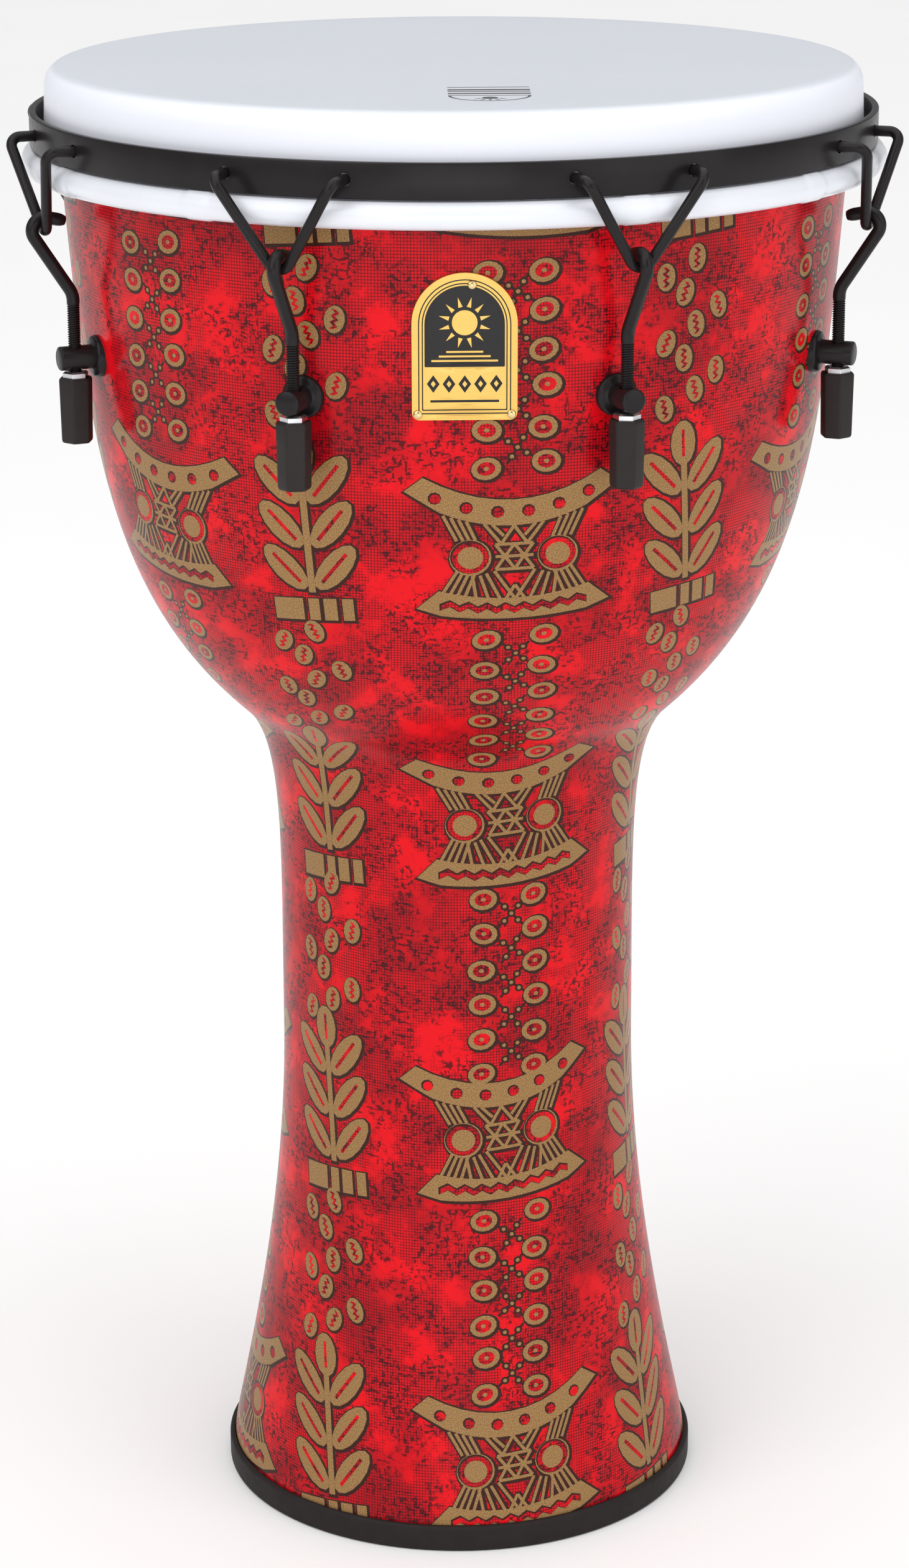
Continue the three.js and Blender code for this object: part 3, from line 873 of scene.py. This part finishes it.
# ---- foot, head and hoops ----
def make_foot():
    outer, inner, height, lip, floor, round_ = 111, 99.8, 12.4, 9, 3, 1.6
    slot = (SHELL["foot_radius"] + 0.3, SHELL["foot_radius"] - SHELL["wall"] - 0.3)
    profile = arc(inner + round_, round_, round_, 180, 270, 5)
    profile += arc(outer - round_, round_, round_, 270, 360, 5)
    profile += arc(outer - round_, height - round_, round_, 0, 90, 5)
    profile += [(slot[0], height), (slot[0], floor), (slot[1], floor), (slot[1], lip)]
    profile += [(inner + 0.6, lip), (inner, lip - 0.6)]
    piece = turned("foot_rubber_ring", profile, foot_rubber())
    sharpen(piece, 50)
    settle(piece, "drum", "foot_rubber", "foot_ring")


def make_film():
    """The flat top with its printed mark, the rolled shoulder and the skirt down into the flesh hoop."""
    top, flat, collar_radius, collar, depth = 667.75, 171.7, 179, 659.2, 0.8
    skirt_radius, skirt, hoop, height, curl = 179.6, 642, 184, 627.5, 3.6

    def face(inset):
        wide, tall = collar_radius - flat - inset, top - collar - inset
        turn = [math.radians(d) for d in range(90, -1, -6)]
        shoulder = [(flat + wide * math.cos(a), collar + tall * math.sin(a)) for a in turn]
        return shoulder + [(skirt_radius - inset, skirt)] + arc(hoop, height, curl + inset, 180, 270, 8)

    flat_top = [(radius, top) for radius in (0, 20, 60, 100, 140, 160)]
    rings = flat_top + face(0) + face(depth)[::-1] + [(0, top - depth)]
    piece = turned("head_film_skin", rings, head_film(), closed=False)
    settle(piece, "head", "head_film", "drumhead_film")

    make_head_mark(top)


def prism(name, shapes, low, high, material):
    """Flat closed plates with these outlines, joined in one piece."""
    vertices, faces = [], []
    for shape in shapes:
        count, first = len(shape), len(vertices)
        vertices += [(x, y, high) for x, y in shape] + [(x, y, low) for x, y in shape]
        faces.append(tuple(range(first, first + count)))
        faces.append(tuple(reversed(range(first + count, first + 2 * count))))
        for k in range(count):
            n = (k + 1) % count
            faces.append((first + k, first + count + k, first + count + n, first + n))
    piece = new_piece(name, vertices, faces, [material])
    outwards(piece)
    for polygon in piece.data.polygons:
        polygon.use_smooth = False
    return piece


def make_head_mark(top):
    """A small grey printed arch with a rayed disc and bars, in the badge's style, facing the player."""
    half, crown = 17, 7

    def band(size, width):
        return arc(0, crown, size, 0, 180, 20) + arc(0, crown, size - width, 180, 0, 20)

    shapes = [band(half, 1.2), [(-half, crown), (half, crown), (half, crown - 1.2), (-half, crown - 1.2)]]
    shapes += [ellipse(0, crown + 7, 3.4, 3.4)]
    shapes += [ray(crown + 7, 30 * k, 4.6, 0.8, 8.2) for k in range(1, 6)]
    shapes += [[(-half, y), (half, y), (half, y + tall), (-half, y + tall)]
               for y, tall in ((-1.5, 3.4), (-8, 2.2), (-14, 3.6), (-21, 1.4))]
    turned_round = [[(13 - x, -120 - y) for x, y in shape] for shape in shapes]
    mark = prism("head_mark", turned_round, top - 0.4, top + 0.05, mark_ink())
    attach(mark, "head")


TAPE_JOINTS = (-62, -34.5, 22.5, 52, 83, 124, 168, 210, 255)  # degrees from the front
TAPE = {"band": 2.0, "step": 0.3, "even": 0.36, "odd": 0.405, "most_sideways": 0.405}  # degrees and mm


def tape_swell(degrees):
    """How much the wrap is thicker here. Each joint's band is alternately a little thinner and thicker."""
    swell = 0
    for k, joint in enumerate(TAPE_JOINTS):
        away = abs((degrees - joint + 180) % 360 - 180)
        inside = min(max((TAPE["band"] - away) / TAPE["step"], 0), 1)
        swell += TAPE["odd" if k % 2 else "even"] * inside
    return swell


def make_flesh_hoop():
    """A taped tube with a thicker band where each length of tape ends. It hides the steel core."""
    columns, sides, radius, height, wrap = 720, 22, 184, 627.5, 5.8
    vertices, faces = [], []
    for c in range(columns):
        a = math.tau * c / columns
        swell = tape_swell(math.degrees(a))
        for s in range(sides):
            t = math.tau * s / sides
            r = radius + (wrap + min(swell, TAPE["most_sideways"])) * math.cos(t)
            vertices.append((r * math.sin(a), -r * math.cos(a), height + (wrap + swell) * math.sin(t)))
    for c in range(columns):
        d = (c + 1) % columns
        for s in range(sides):
            t = (s + 1) % sides
            faces.append((c * sides + s, d * sides + s, d * sides + t, c * sides + t))
    piece = new_piece("flesh_hoop_tape", vertices, faces, [hoop_wrap()])
    outwards(piece)
    settle(piece, "head", "hoop_wrap", "flesh_hoop_wrap", "flesh_hoop_core")


def hole_tool(x, z, radius, inner, outer, sides=20):
    """A closed bar along the radius at the front, for cutting a hole."""
    return swept("tool", [(x, -inner, z), (x, -(inner + outer) / 2, z), (x, -outer, z)],
                 lambda i, a: radius, sides, None)


def make_rim_hoop(enamel):
    outer, inner, bottom, top, round_, hole = 186, 183, 633.8, 648.8, 0.7, 2.8
    profile = arc(inner + round_, bottom + round_, round_, 180, 270, 3)
    profile += arc(outer - round_, bottom + round_, round_, 270, 360, 3)
    profile += arc(outer - round_, top - round_, round_, 0, 90, 3)
    profile += arc(inner + round_, top - round_, round_, 90, 180, 3)
    piece = turned("rim_hoop_strip", profile, enamel, 288)
    tools = []
    for i in range(STATIONS):
        for side in (-1, 1):
            tool = hole_tool(side * CLAW["spread"], CLAW["height"], hole, inner - 7, outer + 8)
            tool.data.transform(Matrix.Rotation(station_angle(i), 4, "Z"))
            tools.append(tool)
    cut(piece, tools)
    sharpen(piece, 40)
    settle(piece, "head", "black_enamel", "rim_hoop")


# ---- tuning stations ----
def at_front(across, radius, height):
    return Vector((across, -radius, height))


def make_claws(enamel):
    c = CLAW
    lean = (c["corner"] - c["apex_radius"]) / (c["height"] - c["apex"])
    rise = math.hypot(1, lean)
    centre_up = c["apex_bend"] / rise
    reach = (c["height"] - c["apex"] - centre_up) * rise
    far = math.hypot(c["spread"], reach)
    leg_angle = math.atan2(c["spread"], reach) - math.asin(c["apex_bend"] / far)
    meet = centre_up - c["apex_bend"] / math.sin(leg_angle) / rise
    tip = at_front(0, c["apex_radius"] + meet * lean, c["apex"] + meet)
    start, finish = [at_front(side * c["spread"], c["inner_end"], c["height"]) for side in (-1, 1)]
    first, last = [at_front(side * c["spread"], c["corner"], c["height"]) for side in (-1, 1)]
    path = [start] + bent(start, first, tip, c["corner_bend"], 9)
    path += bent(first, tip, last, c["apex_bend"], 16)
    path += bent(tip, last, finish, c["corner_bend"], 9) + [finish]
    path = resampled(path, 1.6)
    count = len(path)
    blunt = (0.72, 0.93)

    def radii(i, angle):
        edge = min(i, count - 1 - i)
        return c["wire"] * (blunt[edge] if edge < len(blunt) else 1)

    master = swept("claw_wire", path, radii, 18, enamel)
    at_stations(master, "claw", "black_enamel", lambda k: f"claw_{k}")


def make_rods(enamel):
    r, c = ROD, CLAW
    hook = (c["apex_radius"], c["apex"])
    across, up = hook[0] - ROD_RADIUS, hook[1] - r["bend"]
    slant = math.atan2(up, across) - math.asin(r["hook_bend"] / math.hypot(across, up))
    curl = arc(*hook, r["hook_bend"], math.degrees(slant) - 90, 90 + r["hook_droop"], 20)
    drop = (curl[-1][0] - r["hook_end"]) * math.tan(math.radians(r["hook_droop"]))
    elbow = at_front(0, ROD_RADIUS, r["bend"])
    low = at_front(0, ROD_RADIUS, r["bottom"])
    hooked = [at_front(0, x, y) for x, y in curl]
    bow_points = bent(low, elbow, hooked[0], r["bend_radius"], 10)
    thread_top = bow_points[0].z - 1
    rows_per_pitch = 8
    count = int((thread_top - r["bottom"]) / r["pitch"] * rows_per_pitch)
    rise = (thread_top - r["bottom"]) / count
    path = [at_front(0, ROD_RADIUS, r["bottom"] + rise * i) for i in range(count + 1)]
    end = at_front(0, r["hook_end"], curl[-1][1] - drop)
    smooth = resampled(bow_points + hooked + [end], 1.6)
    total = count + 1 + len(smooth)

    def radii(i, angle):
        if i > count:
            left = total - 1 - i
            return r["wire"] * (0.72 if left == 0 else 0.93 if left == 1 else 1)
        turn = (i / rows_per_pitch - angle / math.tau) % 1
        crest = 1 - abs(2 * turn - 1)
        run_out = min(1, (count - i) / rows_per_pitch, (i + 2) / rows_per_pitch)
        return r["wire"] - 0.03 - r["thread_depth"] * (1 - min(crest * 1.35, 1)) * run_out

    master = swept("rod_wire", path + smooth, radii, 16, enamel)
    at_stations(master, "tension_rod", "black_enamel", lambda k: "head")


def make_posts(enamel):
    """A barrel with a chamfered end on a round flange that follows the bowl, cross-drilled for the rod."""
    surface = outline.radius_at(POST_HEIGHT)
    flange = [(-2.6, 9), (1.7, 9), (2.7, 8.5), (3.1, 7.6), (3.2, 5.8), (3.6, 5.2)]
    rings = [(surface + out, radius) for out, radius in flange]
    rings += [(184.2, 5.2), (184.7, 5.0), (185, 4.4), (185, 0.01)]
    master = barrel("post_body", rings, POST_HEIGHT, 40, enamel)
    cross = [(0, -ROD_RADIUS, POST_HEIGHT + z) for z in (-12, 0, 12)]
    cut(master, [swept("tool", cross, lambda i, a: 3.15, 20, None)])
    sharpen(master, 42)
    at_stations(master, "lug_post", "black_enamel", lambda k: "drum")


def make_sleeves():
    """A soft-cornered six-sided sleeve with the nut's pocket in its top."""
    top, bottom, high, low = 541, 512.5, 13.3, 12.45
    pocket = 10.7
    widths = [(low - 3.0, 0), (low - 1.4, 0.15), (low - 0.4, 0.6), (low, 1.5)]
    sections = [(rounded_hex(w, 1.6), bottom + up) for w, up in widths]
    sections += [(rounded_hex(low + (high - low) * t, 1.7), bottom + 1.5 + (top - bottom - 2.7) * t)
                 for t in (0.33, 0.66, 1)]
    sections += [(rounded_hex(high - 0.35, 1.6), top - 0.45), (rounded_hex(high - 1.1, 1.5), top),
                 (rounded_hex(pocket + 0.3, 0.8), top), (rounded_hex(pocket, 0.6), top - 0.4),
                 (rounded_hex(pocket, 0.6), 524)]
    sections = [(placed(points, 0, -ROD_RADIUS), height) for points, height in sections]
    master = lofted("sleeve_body", sections, black_plastic())
    sharpen(master, 45)
    at_stations(master, "nut_sleeve", "black_plastic", lambda k: f"nut_{k}")


def make_nuts(steel):
    top, bottom, flats, bore = 543.7, 524.3, 10, 3.15
    hexagon = rounded_hex(flats, 0.35)

    def ring(radius):
        """A circle with as many points as the hexagon, each in line with one of its points."""
        return [(radius * x / math.hypot(x, y), radius * y / math.hypot(x, y)) for x, y in hexagon]

    sections = [(ring(bore), bottom), (ring(4.7), bottom), (hexagon, bottom + 0.7), (hexagon, top - 0.7),
                (ring(4.75), top), (ring(bore + 0.35), top), (ring(bore), top - 0.4), (ring(bore), bottom)]
    sections = [(placed(points, 0, -ROD_RADIUS), height) for points, height in sections]
    master = lofted("nut_body", sections, steel, (False, False))
    edit = bmesh.new()
    edit.from_mesh(master.data)
    bmesh.ops.remove_doubles(edit, verts=edit.verts, dist=1e-6)
    bmesh.ops.recalc_face_normals(edit, faces=edit.faces)
    edit.to_mesh(master.data)
    edit.free()
    sharpen(master, 25)
    at_stations(master, "hex_nut", "bright_steel", lambda k: f"nut_{k}")


def make_screws(steel):
    """A domed head with a hexagon socket on the inside of the bowl."""
    seat = outline.radius_at(POST_HEIGHT) - SHELL["wall"] - 0.9
    dome = [(3.2, 0.01), (3.2, 2.6), (3.15, 3.6), (2.5, 5.0), (1.4, 5.5), (0, 5.5), (0, 2.4)]
    rings = [(seat - up, radius) for up, radius in dome]
    rings += [(172.6, 2.4), (173, 2.0), (173, 0.01)]
    master = barrel("screw_body", rings, POST_HEIGHT, 30, steel)
    socket = [(0, depth - seat, POST_HEIGHT) for depth in (5, 3, 1.4)]
    cut(master, [swept("tool", socket, lambda i, a: 2.3, 6, None)])
    sharpen(master, 35)
    at_stations(master, "lug_screw", "bright_steel", lambda k: "drum")


# ---- badge ----
BADGE = {"angle": 0.6, "width": 43, "bottom": 541.6, "top": 603, "corner": 3, "thickness": 1.2, "gap": 0.3}
PINS = (("badge_pin_top", 3, 598), ("badge_pin_left", -19, 543.9), ("badge_pin_right", 19, 543.9))


def arch(inset, floor=None, steps=28):
    """The badge's outline, or one set in from it, about the middle of its width."""
    b = BADGE
    half = b["width"] / 2 - inset
    bottom = b["bottom"] + inset if floor is None else floor
    corner = max(b["corner"] - inset, 0.4)
    crown = b["top"] - b["width"] / 2
    points = arc(-half + corner, bottom + corner, corner, 180, 270, 4)
    points += arc(half - corner, bottom + corner, corner, 270, 360, 4)
    return points + arc(0, crown, half, 0, 180, steps)


def badge_art():
    """Thin inset lines, a dark arch with a rayed disc over stepped bars, and a row of lozenges."""
    ink, gold = 1, 0
    crown = BADGE["top"] - BADGE["width"] / 2
    art = [(ink, arch(2.6)), (gold, arch(3.1)), (ink, arch(4.1)), (gold, arch(4.6)), (ink, arch(5.2, 564))]
    art.append((gold, ellipse(0, crown + 1, 5.2, 5.2, 0, 28)))
    art += [(gold, ray(crown + 1, 30 * k + 15, 6.6, 0.9, 10.8)) for k in range(12)]
    for k in range(3):
        half, y = 13.5 - 3 * k, 566.2 + 1.9 * k
        art.append((gold, [(-half, y), (half, y), (half, y + 0.8), (-half, y + 0.8)]))
    for k in range(5):
        x = (k - 2) * 6.4
        art.append((ink, [(x - 2.6, 557), (x, 553.3), (x + 2.6, 557), (x, 560.7)]))
        art.append((gold, [(x - 1, 557), (x, 555.6), (x + 1, 557), (x, 558.4)]))
    art.append((ink, [(-14, 549.2), (14, 549.2), (14, 550.2), (-14, 550.2)]))
    return art


def make_badge():
    b = BADGE
    outer = arch(0, steps=40)
    step = 2.2
    spots = []
    count_x, count_z = int(b["width"] / step), int((b["top"] - b["bottom"]) / step)
    crown = b["top"] - b["width"] / 2
    for i in range(1, count_x):
        for k in range(1, count_z):
            x, z = -b["width"] / 2 + i * step, b["bottom"] + k * step
            if z < crown or math.hypot(x, z - crown) < b["width"] / 2 - 0.5:
                spots.append((x, z))
    flat, faces, colours = painted(spots, [], [(0, outer)] + badge_art())
    keep = [k for k, c in enumerate(colours) if c is not None]
    faces, colours = [tuple(faces[k]) for k in keep], [colours[k] for k in keep]
    used = sorted({v for f in faces for v in f})
    order = {v: i for i, v in enumerate(used)}
    faces = [tuple(order[v] for v in f) for f in faces]
    flat = [flat[v] for v in used]

    def on_bowl(x, z, lift):
        near = outline.radius_at(z)
        low, high = outline.radius_at(z - 1), outline.radius_at(z + 1)
        size = math.hypot(2, high - low)
        r, height = near + lift * 2 / size, z - lift * (high - low) / size
        a = math.asin(x / r) + math.radians(b["angle"])
        return r * math.sin(a), -r * math.cos(a), height

    count = len(flat)
    vertices = [on_bowl(x, z, b["gap"] + b["thickness"] - 0.02) for x, z in flat]
    vertices += [on_bowl(x, z, b["gap"]) for x, z in flat]
    edges = {}
    for f in faces:
        for p, q in zip(f, f[1:] + f[:1]):
            edges[(p, q)] = edges.get((p, q), 0) + 1
    rim = [(p, q) for p, q in edges if (q, p) not in edges]
    faces += [tuple(v + count for v in reversed(f)) for f in faces[:]]
    colours += [0] * (len(faces) - len(colours))
    faces += [(q, p, p + count, q + count) for p, q in rim]
    colours += [0] * len(rim)
    piece = new_piece("badge_plate", vertices, faces, [gold_plate(), badge_ink()], colours)
    outwards(piece)
    sharpen(piece, 40)
    settle(piece, "drum", "gold_plate", "badge")


def make_pins():
    material = pin_brass()
    for name, across, height in PINS:
        near = outline.radius_at(height)
        under = near + BADGE["gap"] + BADGE["thickness"] + 0.1
        profile = [(0, -3), (0.8, -3), (0.8, 0), (1.8, 0), (1.85, 0.2)]
        for d in (20, 40, 60, 78):
            profile.append((1.85 * math.cos(math.radians(d)), 0.25 + 0.95 * math.sin(math.radians(d))))
        piece = turned(f"{name}_dome", profile + [(0, 1.2)], material, 24, closed=False)
        piece.data.transform(Matrix.Rotation(math.radians(90), 4, "X"))
        piece.data.transform(Matrix.Translation((0, -under * MM, height * MM)))
        piece.data.transform(Matrix.Rotation(math.radians(BADGE["angle"]) + across / near, 4, "Z"))
        settle(piece, "drum", "pin_brass", name)


make_camera()
make_studio()
make_shell()
make_foot()
make_film()
make_flesh_hoop()
enamel = black_enamel()
make_rim_hoop(enamel)
make_claws(enamel)
make_rods(enamel)
make_posts(enamel)
make_sleeves()
steel = bright_steel()
make_nuts(steel)
make_screws(steel)
make_badge()
make_pins()
